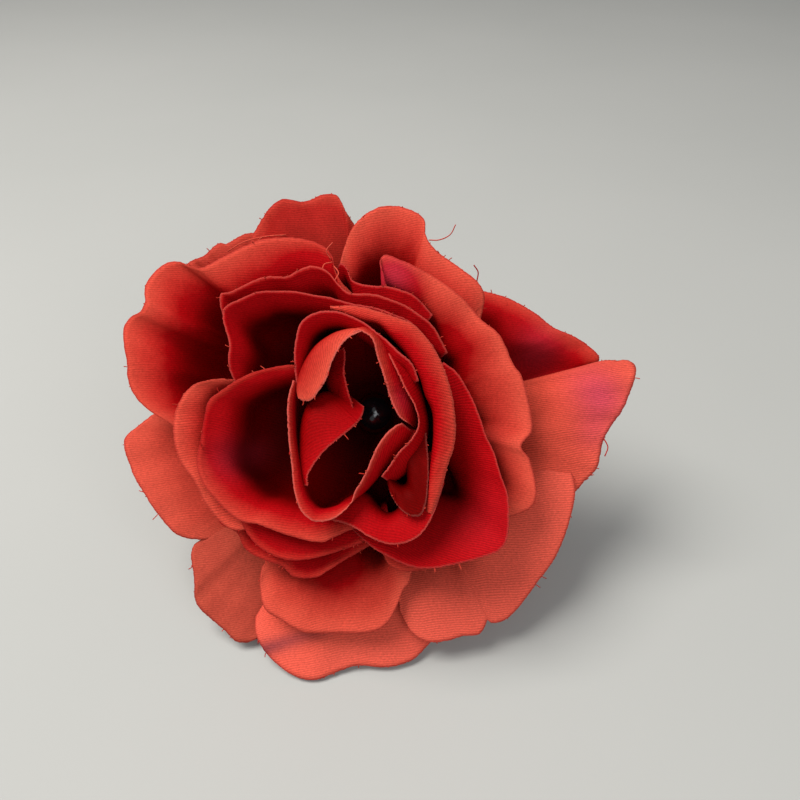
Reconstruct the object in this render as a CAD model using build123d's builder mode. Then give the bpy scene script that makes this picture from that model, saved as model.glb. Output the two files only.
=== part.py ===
"""A fabric rose on an alligator hair clip, lying on its lowest petals and on the clip's thumb lever.

Millimetres. +Z is up from the surface that it lies on, and the rose faces -Y and up. The origin is on that
surface, under the middle of the whole object. Every sub-part is drawn in the rose's own frame, which the rest
pose tilts: its origin is the centre of the felt disc's rear face, its Z runs along the peg and out through the
middle of the rose, and a height below means a distance along that Z.
"""

import os
from math import asin, cos, degrees, radians, sin

from build123d import *

# ---- petals -------------------------------------------------------------------------------------------------
cloth = 0.45  # thickness of a petal layer: stiffened cloth with its heat-pressed crimp
first_hub = 12.0  # height of the outermost layer's hub
hub_pitch = 2.5  # from one layer's hub to the next
hub_gap = 0.03  # free space above and below each hub

# The petal layers, the outermost first. Each has the radius where its cloth leaves the hub's plane, the points
# (radius, height) that its cup passes through, and its petals as (azimuth, half span, reach).
layers = {
    "petal_layer_6_outer": {
        "hub_radius": 9.0,
        "cup": [(24, 15.4), (42, 20.0), (62, 26.5)],
        "petals": [(12, 31, 55), (110, 17, 50), (134, 14, 51), (196, 21, 54), (224, 15, 54), (262, 26, 59),
                   (314, 31, 51)],
    },
    "petal_layer_5": {
        "hub_radius": 8.0,
        "cup": [(20, 20.5), (38, 27.5), (58, 32.5)],
        "petals": [(4, 30, 34), (72, 30, 44), (116, 18, 42), (160, 26, 55), (257, 24, 45), (302, 26, 45)],
    },
    "petal_layer_4": {
        "hub_radius": 7.0,
        "cup": [(16, 24.0), (28, 31.5), (44, 37.0)],
        "petals": [(350, 36, 33), (60, 32, 28), (118, 32, 35), (200, 44, 39), (296, 34, 37)],
    },
    "petal_layer_3": {
        "hub_radius": 6.0,
        "cup": [(13, 27.5), (22, 35.5), (39, 41.5)],
        "petals": [(50, 34, 25), (134, 32, 32), (205, 38, 36), (315, 40, 35)],
    },
    "petal_layer_2": {
        "hub_radius": 5.0,
        "cup": [(10, 30.5), (16, 38.0), (26, 43.5)],
        "petals": [(40, 48, 19), (132, 36, 22), (225, 44, 21), (305, 40, 25)],
    },
    "petal_layer_1_bud": {
        "hub_radius": 4.2,
        "cup": [(8, 32.0), (11, 39.0), (18, 45.0)],
        "petals": [(0, 50, 11), (118, 48, 16), (236, 58, 17.5)],
    },
}
layer_names = list(layers)
hub_heights = [first_hub + hub_pitch * i for i in range(len(layers) + 1)]

# ---- core ---------------------------------------------------------------------------------------------------
peg_radius = 2.0
peg_clearance = 0.15
collar_radius = 3.2
collar_rib = (1.6, 0.8)  # length and width of a collar's rib
collar_ribs = 6
cap_radius = 3.4
cap_step = 0.8  # how deep the peg sits in the cap
cap_dome = 1.8

# ---- calyx, glue and felt -----------------------------------------------------------------------------------
felt_radius = 19.0
felt_thickness = 1.5
front_glue = 0.8
rear_glue = 0.5
rear_glue_size = (13.0, 30.0)
rear_glue_corner = 3.0
calyx_base = felt_thickness + front_glue
calyx_radius = 11.5
front_glue_radius = 10.0
calyx_flange = 1.2
calyx_top = first_hub - hub_gap
socket_radius = 4.4
socket_clearance = 0.02
socket_floor = calyx_base + calyx_flange
rib_thickness = 1.0
sepal_count = 5
sepal_thickness = 0.7
sepal_hub = 8.0
sepal_cup = [(14, 11.2), (21, 12.0), (30, 14.0)]  # radius and height of the sepals' rear face
sepal_reach = 27.0

# ---- clip, in its side view: (place along the clip, height) ----------------------------------------------------
plate = 0.6  # sheet steel
clip_half_width = 5.0
clip_tip = 25.0
clip_tail = -23.0
plate_front = -rear_glue
plate_rear = plate_front - plate
pivot = (-3.0, -4.4)
pin_radius = 1.0
pin_clearance = 0.06
pin_head_radius = 1.6
pin_head = 0.5
ear_radius = 2.4
ear_gap = 0.1
prong_half_width = clip_half_width - plate - ear_gap
prong_tip = (24.0, -2.7)  # the inner face of the prong's strip, from the jaw to the lever's end
prong_knee = (-3.0, -7.5)
lever_end = (-22.4, -12.0)
lever_end_radius = 3.6
cheek_front = 3.0  # how far the prong's side cheeks reach from the pivot: towards the jaw, the base and the lever
cheek_top = 1.8
cheek_back = 2.4
cheek_heel = 3.2
tooth_pitch = 2.0
tooth_depth = 1.1
tooth_count = 8
tooth_clearance = 0.08
wire_radius = 0.3
coil_radius = 1.9
coil_pitch = 0.75
whole_turns = 4
leg_length = 11.8
lever_leg_slope = 17.0  # how far each leg leans from the clip's length
base_leg_slope = 5.3

# ---- rest pose ----------------------------------------------------------------------------------------------
face_tilt = 42.0  # how far the peg rises above the horizontal
lever_run = (Vector(*lever_end) - Vector(*prong_knee)).normalized()
lever_corner = Vector(*lever_end) + lever_run.rotate(Axis.Z, 90) * plate  # the lever's outer corner touches down
felt_height = -lever_corner.X * cos(radians(face_tilt)) - lever_corner.Y * sin(radians(face_tilt))
frame_x = -0.6  # shifts that put the origin under the middle of the whole object
frame_y = 19.5

rose = Plane(
    origin=(frame_x, frame_y, felt_height),
    x_dir=(1, 0, 0),
    z_dir=(0, -cos(radians(face_tilt)), sin(radians(face_tilt))),
)
half_section = Plane(origin=rose.origin, x_dir=rose.x_dir, z_dir=-rose.y_dir)  # radius and height
clip_side = Plane(origin=rose.origin, x_dir=rose.y_dir, z_dir=rose.x_dir)  # place along the clip, and height
peg_axis = Axis(rose.origin, rose.z_dir)


def petal_plan(azimuth, half_span, reach, hub_radius):
    """One petal's plan: narrow at the hub, widest at three quarters of its reach."""
    edge = [
        (hub_radius * 0.5, 0.5),
        (hub_radius * 1.2, 0.62),
        (reach * 0.5, 0.86),
        (reach * 0.78, 1.0),
        (reach * 0.95, 0.62),
    ]
    right = [(r, azimuth - half_span * share) for r, share in edge]
    left = [(r, azimuth + half_span * share) for r, share in reversed(edge)]
    points = [(r * cos(radians(a)), r * sin(radians(a))) for r, a in right + [(reach, azimuth)] + left]
    with BuildSketch() as plan:
        with BuildLine():
            outline = Spline(*points)
            Line(outline @ 1, outline @ 0)
        make_face()
    return plan.sketch_local


def raised(points, amount):
    """The points of a line moved to its left by an amount, square to the line at each of them."""
    moved = []
    for i, point in enumerate(points):
        before = Vector(*points[max(i - 1, 0)])
        after = Vector(*points[min(i + 1, len(points) - 1)])
        left = (after - before).normalized().rotate(Axis.Z, 90) * amount
        moved.append((point[0] + left.X, point[1] + left.Y))
    return moved


def cup_of_petals(inner_radius, hub_radius, hub_height, cup, petals, thickness):
    """A revolved cup of cloth or film, cut to the plan of its petals."""
    side = [(hub_radius, hub_height), *cup]
    ends = [(1, 0), (1, 0.25)]  # the side leaves the hub level, and its rim turns outward
    with BuildPart() as cup_part:
        with BuildSketch(half_section):
            with BuildLine():
                under = Spline(*side, tangents=ends)
                over = Spline((hub_radius, hub_height + thickness), *raised(side, thickness)[1:], tangents=ends)
                Polyline(under @ 0, (inner_radius, hub_height), (inner_radius, hub_height + thickness), over @ 0)
                Line(under @ 1, over @ 1)
            make_face()
        revolve(axis=peg_axis)
        with BuildSketch(rose):
            Circle(hub_radius)
            for azimuth, half_span, reach in petals:
                add(petal_plan(azimuth, half_span, reach, hub_radius))
        extrude(amount=80, mode=Mode.INTERSECT)
    return cup_part


pieces = {}


def keep(name, piece):
    """Label a finished sub-part and add it to those that are written."""
    piece.part.label = name
    pieces[name] = piece.part


# ---- the rose's petal layers: each is one die-cut rosette of cloth, heat-pressed into a cup -----------------------
for i, (name, layer) in enumerate(layers.items()):
    hole = peg_radius + peg_clearance
    rosette = cup_of_petals(hole, layer["hub_radius"], hub_heights[i], layer["cup"], layer["petals"], cloth)
    keep(name, rosette)

# The outermost layer's lowest petals flatten where they lie on the surface.
with BuildPart() as outer_layer:
    add(pieces[layer_names[0]])
    split(bisect_by=Plane.XY, keep=Keep.TOP)
keep(layer_names[0], outer_layer)

# ---- core: ribbed collars between the hubs, threaded on a peg with a glossy cap ------------------------------------
for i in range(1, len(layers)):
    collar_base = hub_heights[i - 1] + cloth + hub_gap
    with BuildPart() as collar:
        with BuildSketch(rose.offset(collar_base)):
            Circle(collar_radius)
            with PolarLocations(collar_radius, collar_ribs):
                Rectangle(*collar_rib)
            Circle(peg_radius + peg_clearance, mode=Mode.SUBTRACT)
        extrude(amount=hub_heights[i] - hub_gap - collar_base)
    keep(f"spacer_collar_{i}", collar)

cap_base = hub_heights[len(layers) - 1] + cloth + hub_gap
with BuildPart() as core_peg:
    with BuildSketch(rose.offset(socket_floor)):
        Circle(peg_radius)
    extrude(amount=cap_base + cap_step - socket_floor)
keep("core_peg", core_peg)

dome_radius = (cap_radius**2 + cap_dome**2) / (2 * cap_dome)
dome_angle = degrees(asin(cap_radius / dome_radius))
with BuildPart() as centre_cap:
    with BuildSketch(half_section):
        with BuildLine():
            dome_centre = (0, cap_base + cap_step + cap_dome - dome_radius)
            dome = CenterArc(dome_centre, dome_radius, 90, -dome_angle)
            Polyline(dome @ 1, (cap_radius, cap_base), (peg_radius, cap_base), (peg_radius, cap_base + cap_step),
                     (0, cap_base + cap_step), dome @ 0)
        make_face()
    revolve(axis=peg_axis)
keep("centre_cap", centre_cap)

# ---- calyx: a moulded flange, socket and ribs under five film-thin sepals ----------------------------------------
sepal_petals = [(50 + 360 / sepal_count * k, 24, sepal_reach) for k in range(sepal_count)]
sepals = cup_of_petals(socket_radius - 0.5, sepal_hub, calyx_top - sepal_thickness, sepal_cup, sepal_petals,
                       sepal_thickness)

with BuildPart() as calyx:
    with BuildSketch(rose.offset(calyx_base)):
        Circle(calyx_radius)
    extrude(amount=calyx_flange)
    with BuildSketch(rose.offset(calyx_base)):
        Circle(socket_radius)
    extrude(amount=calyx_top - calyx_base)
    add(sepals.part)
    for k in range(sepal_count):
        rib_plane = Plane(half_section.location * Location((0, 0, 0), (0, 360 / sepal_count * k, 0)))
        with BuildSketch(rib_plane):
            with BuildLine():
                Polyline((socket_radius - 1, calyx_base), (calyx_radius - 1, calyx_base),
                         (calyx_radius - 1, socket_floor), (socket_radius + 2, calyx_top - sepal_thickness / 2),
                         (socket_radius - 1, calyx_top - sepal_thickness / 2), close=True)
            make_face()
        extrude(amount=rib_thickness / 2, both=True)
    with BuildSketch(rose.offset(socket_floor)):
        Circle(peg_radius + socket_clearance)
    extrude(amount=calyx_top, mode=Mode.SUBTRACT)
keep("calyx", calyx)

# ---- glue pads and the felt disc ----------------------------------------------------------------------------------
with BuildPart() as glue_pad_front:
    with BuildSketch(rose.offset(felt_thickness)):
        Circle(front_glue_radius)
    extrude(amount=front_glue)
keep("glue_pad_front", glue_pad_front)

with BuildPart() as felt_backing:
    with BuildSketch(rose):
        Circle(felt_radius)
    extrude(amount=felt_thickness)
keep("felt_backing", felt_backing)

with BuildPart() as glue_pad_rear:
    with BuildSketch(rose):
        RectangleRounded(*rear_glue_size, rear_glue_corner)
    extrude(amount=-rear_glue)
keep("glue_pad_rear", glue_pad_rear)


# ---- the clip ------------------------------------------------------------------------------------------------------
def on_strip(u, start, end):
    """The height of a line from start to end, at the place u along the clip."""
    return start[1] + (end[1] - start[1]) * (u - start[0]) / (end[0] - start[0])


with BuildPart() as clip_base:
    with BuildSketch(rose.offset(plate_rear)):
        with Locations((0, (clip_tip + clip_tail) / 2)):
            SlotOverall(clip_tip - clip_tail, 2 * clip_half_width, rotation=90)
    extrude(amount=plate)
    for side in (-1, 1):
        with BuildSketch(clip_side.offset(side * (clip_half_width - plate / 2))):
            with Locations((pivot[0], (plate_front + pivot[1]) / 2)):
                Rectangle(2 * ear_radius, plate_front - pivot[1])
            with Locations(pivot):
                Circle(ear_radius)
                Circle(pin_radius + pin_clearance, mode=Mode.SUBTRACT)
        extrude(amount=plate / 2, both=True)
keep("clip_base", clip_base)

teeth_line = plate_rear - tooth_clearance
teeth_start = prong_tip[0] - tooth_count * tooth_pitch
teeth = []
for k in range(tooth_count):
    u = prong_tip[0] - k * tooth_pitch
    teeth += [(u, teeth_line), (u - tooth_pitch * 0.7, teeth_line - tooth_depth)]

heel = pivot[0] - cheek_heel
with BuildPart() as clip_prong:
    with BuildSketch(clip_side):
        with BuildLine():
            inner = Polyline(prong_tip, prong_knee, lever_end)
            offset(objects=inner, amount=plate, side=Side.LEFT)
        make_face()
    extrude(amount=prong_half_width, both=True)
    for side in (-1, 1):
        with BuildSketch(clip_side.offset(side * (prong_half_width - plate / 2))):
            with BuildLine():
                Polyline(
                    (prong_tip[0], prong_tip[1] - plate / 2),
                    *teeth,
                    (teeth_start, teeth_line - tooth_depth / 2),
                    (pivot[0] + cheek_front, pivot[1] + cheek_top),
                    (pivot[0] - cheek_back, pivot[1] + cheek_top),
                    (heel, on_strip(heel, prong_knee, lever_end) - plate / 2),
                    (prong_knee[0], prong_knee[1] - plate / 2),
                    close=True,
                )
            make_face()
            with Locations(pivot):
                Circle(pin_radius + pin_clearance, mode=Mode.SUBTRACT)
        extrude(amount=plate / 2, both=True)
    short_edges = clip_prong.edges().filter_by(lambda e: e.length < plate * 1.2)
    fillet(short_edges.group_by(Axis(rose.origin, rose.y_dir))[0], lever_end_radius)
keep("clip_prong", clip_prong)

head_inside = clip_half_width + hub_gap
with BuildPart() as clip_pin:
    with BuildSketch(clip_side.offset(-head_inside)):
        with Locations(pivot):
            Circle(pin_radius)
    extrude(amount=2 * head_inside)
    for side in (-1, 1):
        with BuildSketch(clip_side.offset(side * head_inside)):
            with Locations(pivot):
                Circle(pin_head_radius)
        extrude(amount=side * pin_head)
keep("clip_pin", clip_pin)


# Each leg of the spring runs on straight from its end of the coil, one to the lever and one to the base plate.
coil_turns = whole_turns + (90 - base_leg_slope + 90 - lever_leg_slope) / 360
coil_length = coil_turns * coil_pitch
start_angle = radians(lever_leg_slope - 90)
coil_frame = Plane(
    origin=clip_side.from_local_coords(Vector(*pivot, -coil_length / 2)),
    x_dir=clip_side.x_dir * cos(start_angle) + clip_side.y_dir * sin(start_angle),
    z_dir=clip_side.z_dir,
)
coil = coil_frame.location * Helix(pitch=coil_pitch, height=coil_length, radius=coil_radius)
with BuildPart() as clip_spring:
    with BuildSketch(Plane(origin=coil @ 0, z_dir=coil % 0)):
        Circle(wire_radius)
    sweep(path=coil, is_frenet=True)
    with BuildSketch(Plane(origin=coil @ 0, z_dir=coil % 0)):
        Circle(wire_radius)
    extrude(amount=-leg_length)
    with BuildSketch(Plane(origin=coil @ 1, z_dir=coil % 1)):
        Circle(wire_radius)
    extrude(amount=leg_length)
keep("clip_spring", clip_spring)

for name, solid in pieces.items():
    export_step(solid, f"parts/{name}.step")
    print(name, round(solid.volume, 1), "mm3")

print("hinge", clip_side.from_local_coords(Vector(*pivot, 0)))
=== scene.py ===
"""The looks of the fabric rose hair clip: cloth petals, felt, glue, plastic and steel round the CAD frame.

Lengths in this script are millimetres in the rose's own frame unless a name says otherwise: x is across the
rose, y is up its face, and a height runs along the peg from the felt disc's rear face out through the rose.
"""

from math import cos, pi, radians, sin

import bpy
import numpy as np
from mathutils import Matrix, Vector


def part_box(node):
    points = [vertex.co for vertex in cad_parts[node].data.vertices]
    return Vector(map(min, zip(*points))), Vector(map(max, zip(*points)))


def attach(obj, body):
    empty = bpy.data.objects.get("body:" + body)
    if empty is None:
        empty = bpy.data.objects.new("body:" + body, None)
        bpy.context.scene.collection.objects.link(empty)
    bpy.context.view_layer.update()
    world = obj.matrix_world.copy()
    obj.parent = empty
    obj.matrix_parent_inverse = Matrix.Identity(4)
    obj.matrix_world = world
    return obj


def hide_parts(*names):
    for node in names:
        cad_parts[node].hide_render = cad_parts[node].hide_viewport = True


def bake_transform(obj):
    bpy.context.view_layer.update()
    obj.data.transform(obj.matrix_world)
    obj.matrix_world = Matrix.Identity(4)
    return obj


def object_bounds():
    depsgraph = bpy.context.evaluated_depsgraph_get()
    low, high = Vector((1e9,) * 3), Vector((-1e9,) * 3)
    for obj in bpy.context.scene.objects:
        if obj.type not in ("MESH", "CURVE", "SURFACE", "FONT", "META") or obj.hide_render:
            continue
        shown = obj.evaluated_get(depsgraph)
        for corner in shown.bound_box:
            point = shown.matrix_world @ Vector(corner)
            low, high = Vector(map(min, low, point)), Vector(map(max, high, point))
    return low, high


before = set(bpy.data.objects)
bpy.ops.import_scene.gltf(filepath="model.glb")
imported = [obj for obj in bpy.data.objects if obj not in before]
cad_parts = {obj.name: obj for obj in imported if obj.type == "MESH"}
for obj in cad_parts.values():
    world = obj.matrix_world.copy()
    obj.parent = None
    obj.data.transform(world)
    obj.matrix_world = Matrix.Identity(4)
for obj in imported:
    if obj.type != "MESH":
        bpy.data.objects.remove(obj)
cad_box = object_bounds()

MM = 0.001

# ---- the rose's own frame, as the CAD sets it ----------------------------------------------------
FACE_TILT = radians(42.0)
FELT_THICKNESS = 1.5
FORWARD = np.array([0.0, -cos(FACE_TILT), sin(FACE_TILT)])
ACROSS = np.array([1.0, 0.0, 0.0])
UPWARD = np.array([0.0, sin(FACE_TILT), cos(FACE_TILT)])
felt_low, felt_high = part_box("felt_backing")
ORIGIN = (np.array(felt_low) + np.array(felt_high)) / 2 / MM - FORWARD * FELT_THICKNESS / 2

# ---- sizes ---------------------------------------------------------------------------------------
FIRST_HUB = 12.0
HUB_PITCH = 2.5
LAYERS = 6
HOLE_RADIUS = 2.2
HUB_OVERLAP = 0.4  # how far a rosette's hub ring reaches under its petals' claws
CLOTH_THICKNESS = 0.18
FLOOR_CLEARANCE = 0.2
CUT_WOBBLE = 0.035  # how unevenly the petals' rims are cut
FRAYS_PER_PETAL = 9
FRAY_LENGTH = 0.75
FRAY_RADIUS = 0.024
WIDEST_GAP = 6.0  # the marks don't count distances from the cut edge beyond this

RIM_STEPS = 140
REACH_STEPS = 40
HUB_STEPS = 64
LINE_SAMPLES = 40  # how finely a curve is followed between two of its points, before its even steps
WALL_SAMPLES = 24  # the same for the curves that run up a petal
RIM_CROWDING = 0.92  # below 1, the steps from the claw to the rim get closer together towards the rim

# What each point of the cloth knows: its share of the way to the rim, which also sets the painted shade low
# on the petal and in the throat, how light (partly painted highlight) or dark the cut edge is, how far that
# edge is, how light the petal's colour is (partly its own faded colour, partly painted light and shade), a
# brown tone, a painted sheen, how much the ribs show, and painted shade in a fold.
MARKS = ("reach", "edge", "gap", "tint", "brown", "painted_sheen", "rib", "fold_shade")

rng = np.random.default_rng(7)


def to_row(points):
    """Takes points (n, 3) from the rose's frame to the row's, in metres, and keeps them above the floor."""
    row = ORIGIN + points[:, :1] * ACROSS + points[:, 1:2] * UPWARD + points[:, 2:] * FORWARD
    row[:, 2] = np.maximum(row[:, 2], FLOOR_CLEARANCE)
    return row * MM


# ---- materials -----------------------------------------------------------------------------------
def rgb(red, green, blue):
    return (red, green, blue, 1.0)


class Nodes:
    """A material's node tree, with short calls that add a node and return its output."""

    def __init__(self, name):
        self.material = bpy.data.materials.new(name)
        self.material.use_nodes = True
        self.tree = self.material.node_tree
        self.tree.nodes.clear()
        self.output = self.tree.nodes.new("ShaderNodeOutputMaterial")

    def add(self, kind, out=0, settings=None, **inputs):
        """One node. Its inputs go by name, or as i0, i1 and so on by place."""
        node = self.tree.nodes.new(kind)
        for key, value in (settings or {}).items():
            setattr(node, key, value)
        for key, value in inputs.items():
            by_place = key[0] == "i" and key[1:].isdigit()
            socket = node.inputs[int(key[1:]) if by_place else key.replace("_", " ")]
            if isinstance(value, bpy.types.NodeSocket):
                self.tree.links.new(value, socket)
            else:
                socket.default_value = value
        return node.outputs[out]

    def math(self, operation, a, b=0.0, c=0.0):
        return self.add("ShaderNodeMath", 0, {"operation": operation}, i0=a, i1=b, i2=c)

    def plus(self, a, b):
        return self.math("ADD", a, b)

    def times(self, a, b):
        return self.math("MULTIPLY", a, b)

    def scaled(self, vector, factor):
        return self.add("ShaderNodeVectorMath", 0, {"operation": "SCALE"}, i0=vector, Scale=factor)

    def stretched(self, vector, scale):
        return self.add("ShaderNodeMapping", 0, None, Vector=vector, Scale=scale)

    def mix(self, factor, a, b):
        return self.add("ShaderNodeMix", 2, {"data_type": "RGBA"}, i0=factor, i6=a, i7=b)

    def span(self, value, low, high, to_low=0.0, to_high=1.0):
        """Turns low to high into to_low to to_high, and stays at those ends beyond them."""
        return self.add("ShaderNodeMapRange", 0, None, i0=value, i1=low, i2=high, i3=to_low, i4=to_high)

    def noise(self, vector, scale, detail=3.0, roughness=0.5):
        inputs = {"Vector": vector, "Scale": scale, "Detail": detail, "Roughness": roughness}
        return self.add("ShaderNodeTexNoise", 0, None, **inputs)

    def noise_vector(self, vector, scale, **inputs):
        return self.add("ShaderNodeTexNoise", 1, None, Vector=vector, Scale=scale, **inputs)

    def ridges(self, vector, scale, detail):
        settings = {"noise_type": "RIDGED_MULTIFRACTAL"}
        return self.add("ShaderNodeTexNoise", 0, settings, Vector=vector, Scale=scale, Detail=detail)

    def bump(self, height, depth, strength=1.0, normal=None):
        """A bump whose full height is depth in millimetres, over an earlier one where normal is given."""
        inputs = {"Height": height, "Distance": depth * MM, "Strength": strength}
        if normal is not None:
            inputs["Normal"] = normal
        return self.add("ShaderNodeBump", 0, None, **inputs)

    def principled(self, **inputs):
        return self.add("ShaderNodeBsdfPrincipled", 0, None, **inputs)

    def finish(self, shader):
        self.tree.links.new(shader, self.output.inputs["Surface"])
        return self.material


# Painted shade: the first two colours darken the cloth in the throat and low on each petal, and DEEP_RED
# also tones a fine mottle.
THROAT_SHADE = rgb(0.025, 0.0, 0.0)
DEEP_RED = rgb(0.17, 0.0, 0.0)
RED = rgb(0.36, 0.002, 0.004)
CORAL = rgb(0.58, 0.066, 0.039)
# Painted light: a lighter coral for the most brightly lit petals.
LIT_CORAL = rgb(0.68, 0.092, 0.058)
DARK_BROWN = rgb(0.30, 0.045, 0.028)
LIGHT_BROWN = rgb(0.50, 0.08, 0.046)
# Painted shade in a fold.
FOLD_SHADE = rgb(0.16, 0.032, 0.040)
# Painted sheen, a light rosy patch.
SHEEN_PINK = rgb(0.56, 0.055, 0.10)
# Partly painted highlight along the cut rims.
LIGHT_CUT = rgb(0.72, 0.20, 0.16)
DARK_CUT = rgb(0.22, 0.006, 0.010)
GLOW = rgb(0.70, 0.01, 0.008)
CLOTH_GLOSS = rgb(1.0, 0.6, 0.55)

RIB_PITCH = 0.5
THREAD_PITCH = 0.36
# Painted sheen on the rib tops.
RIB_LIGHT = 0.26  # how much lighter a rib's top is than the middle tone
SLUB_LIGHT = 0.2
SPECK_LIGHT = 1.0
LIGHT_THROUGH = 0.14  # the share of light that goes through the cloth


def dye_with_painted_light(n, mark, flat, fine):
    """The cloth's colour before its weave: painted shade near black in the throat and dark red low on each
    petal, red up the petal, and coral near the rim, partly faded cloth and partly painted light.
    """
    blotch = n.noise(flat, 0.16, 4.0, 0.6)
    uneven = n.times(blotch, 0.35)
    redness = n.plus(n.math("POWER", mark["reach"], 4.0), uneven)
    fade_and_light = n.plus(n.math("POWER", mark["reach"], 7.0), uneven)
    fade_and_light = n.plus(fade_and_light, n.math("SUBTRACT", mark["tint"], 0.8))
    # Painted shade: near black at the throat, dark red low on each petal, red further up.
    colour = n.mix(n.span(mark["reach"], 0.1, 0.6), THROAT_SHADE, DEEP_RED)
    colour = n.mix(n.span(redness, 0.2, 0.85), colour, RED)
    # Coral near the rim and for a high tint: partly faded cloth, partly painted light; the lightest coral is
    # painted light.
    colour = n.mix(n.span(fade_and_light, 0.45, 1.2), colour, CORAL)
    colour = n.mix(n.span(fade_and_light, 1.2, 2.2), colour, LIT_CORAL)
    colour = n.mix(n.times(mark["brown"], 0.85), colour, n.mix(blotch, DARK_BROWN, LIGHT_BROWN))
    # Painted shade in a fold.
    colour = n.mix(n.times(mark["fold_shade"], 0.9), colour, FOLD_SHADE)
    # Painted sheen.
    colour = n.mix(n.times(mark["painted_sheen"], 0.8), colour, SHEEN_PINK)
    return n.mix(n.span(fine, 0.4, 0.8, 0.0, 0.22), colour, n.mix(0.6, colour, DEEP_RED))


def cut_edge(n, mark, flat, colour):
    """Lightens or darkens the cloth in a ragged line along its cut; the light line is partly painted
    highlight on the rims.
    """
    frayed = n.math("SUBTRACT", mark["gap"], n.times(n.noise(flat, 3.0, 2.0, 0.6), 0.5))
    rim = n.span(frayed, -0.1, 0.2, 1.0, 0.0)
    light = n.times(rim, n.math("MAXIMUM", mark["edge"], 0.0))
    dark = n.times(rim, n.math("MAXIMUM", n.times(mark["edge"], -1.0), 0.0))
    colour = n.mix(n.times(light, 0.4), colour, LIGHT_CUT)
    return n.mix(n.times(dark, 0.8), colour, DARK_CUT)


def cloth_relief(n, flat, weave):
    """The cloth's bumps, the finest first: weave, small dents, soft folds and creases up the petal."""
    spokes = n.add("ShaderNodeUVMap", 0, {"uv_map": "spokes"})
    wander = n.noise_vector(flat, 0.12, Detail=1.0)
    bent = {"i0": wander, "i1": (3.0, 3.0, 0.0), "i2": spokes}
    bent = n.add("ShaderNodeVectorMath", 0, {"operation": "MULTIPLY_ADD"}, **bent)
    height = n.bump(weave, 0.012)
    height = n.bump(n.noise(flat, 0.6, 4.0, 0.65), 0.12, 0.6, height)
    height = n.bump(n.noise(spokes, 0.8, 3.0, 0.55), 0.3, 0.4, height)
    return n.bump(n.span(n.ridges(bent, 0.22, 2.0), 0.6, 2.2), 0.8, 0.55, height)


def petal_cloth(name, grain_angle):
    """Dyed polyester satin: fine ribs along the rosette's flat grain, and some light through the cloth."""
    n = Nodes(name)
    mark = {key: n.add("ShaderNodeAttribute", 2, {"attribute_name": key}) for key in MARKS}
    flat = n.add("ShaderNodeUVMap", 0, {"uv_map": "flat_grain"})
    turn = {"Vector": flat, "Angle": radians(grain_angle)}
    grain = n.add("ShaderNodeVectorRotate", 0, {"rotation_type": "Z_AXIS"}, **turn)
    wander = n.times(n.noise(grain, 0.12, 1.0), 1.6)
    across = n.plus(n.add("ShaderNodeSeparateXYZ", 0, None, Vector=grain), wander)
    along = n.add("ShaderNodeSeparateXYZ", 1, None, Vector=grain)
    rib = n.math("SINE", n.times(across, 2 * pi / RIB_PITCH))
    thread_place = n.plus(along, n.times(across, 0.5))
    thread_wave = n.math("SINE", n.times(thread_place, 2 * pi / THREAD_PITCH))
    slub = n.noise(n.stretched(grain, (4.0, 0.6, 1.0)), 1.0, 2.0, 0.6)
    speck = n.noise(n.stretched(grain, (3.2, 1.6, 1.0)), 1.0, 2.0, 0.8)
    fine = n.noise(flat, 2.2, 3.0, 0.6)
    shown = n.times(mark["rib"], n.span(slub, 0.3, 0.6, 0.5, 1.0))

    # The lighter rib tops are painted sheen.
    weave_light = n.math("MULTIPLY_ADD", n.times(rib, shown), RIB_LIGHT, 1.0)
    weave_light = n.plus(weave_light, n.math("MULTIPLY_ADD", speck, SPECK_LIGHT, -SPECK_LIGHT / 2))
    weave_light = n.plus(weave_light, n.times(n.span(slub, 0.5, 0.8, 0.0, SLUB_LIGHT), mark["rib"]))
    colour = n.scaled(dye_with_painted_light(n, mark, flat, fine), weave_light)
    colour = cut_edge(n, mark, flat, colour)
    weave = n.times(n.plus(rib, n.times(thread_wave, 0.5)), n.plus(shown, 0.1))
    relief = cloth_relief(n, flat, weave)
    cloth = n.principled(
        Base_Color=colour, Roughness=n.span(fine, 0.2, 0.8, 0.52, 0.68), Normal=relief,
        Specular_IOR_Level=0.045, Specular_Tint=CLOTH_GLOSS,
    )
    glow = n.add("ShaderNodeBsdfTranslucent", Color=n.mix(0.6, colour, GLOW), Normal=relief)
    return n.finish(n.add("ShaderNodeMixShader", Fac=LIGHT_THROUGH, i1=cloth, i2=glow))


def steel(name, tone, roughness, grain, grain_stretch):
    """Plated or drawn steel: clean metal with fine marks along one way and a cloudy, handled finish."""
    n = Nodes(name)
    place = n.add("ShaderNodeTexCoord", 3)
    cloudy = n.noise(place, 120.0, 5.0, 0.65)
    scratches = n.noise(n.stretched(place, grain_stretch), 1.0, 3.0, 0.7)
    colour = n.mix(n.span(cloudy, 0.35, 0.75), rgb(*tone), rgb(*(0.88 * share for share in tone)))
    rough = n.span(scratches, 0.3, 0.7, roughness * 0.8, roughness * 1.3)
    rough = n.plus(rough, n.times(cloudy, 0.05))
    relief = n.bump(scratches, grain, 0.6)
    return n.finish(n.principled(Base_Color=colour, Metallic=1.0, Roughness=rough, Normal=relief))


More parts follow.
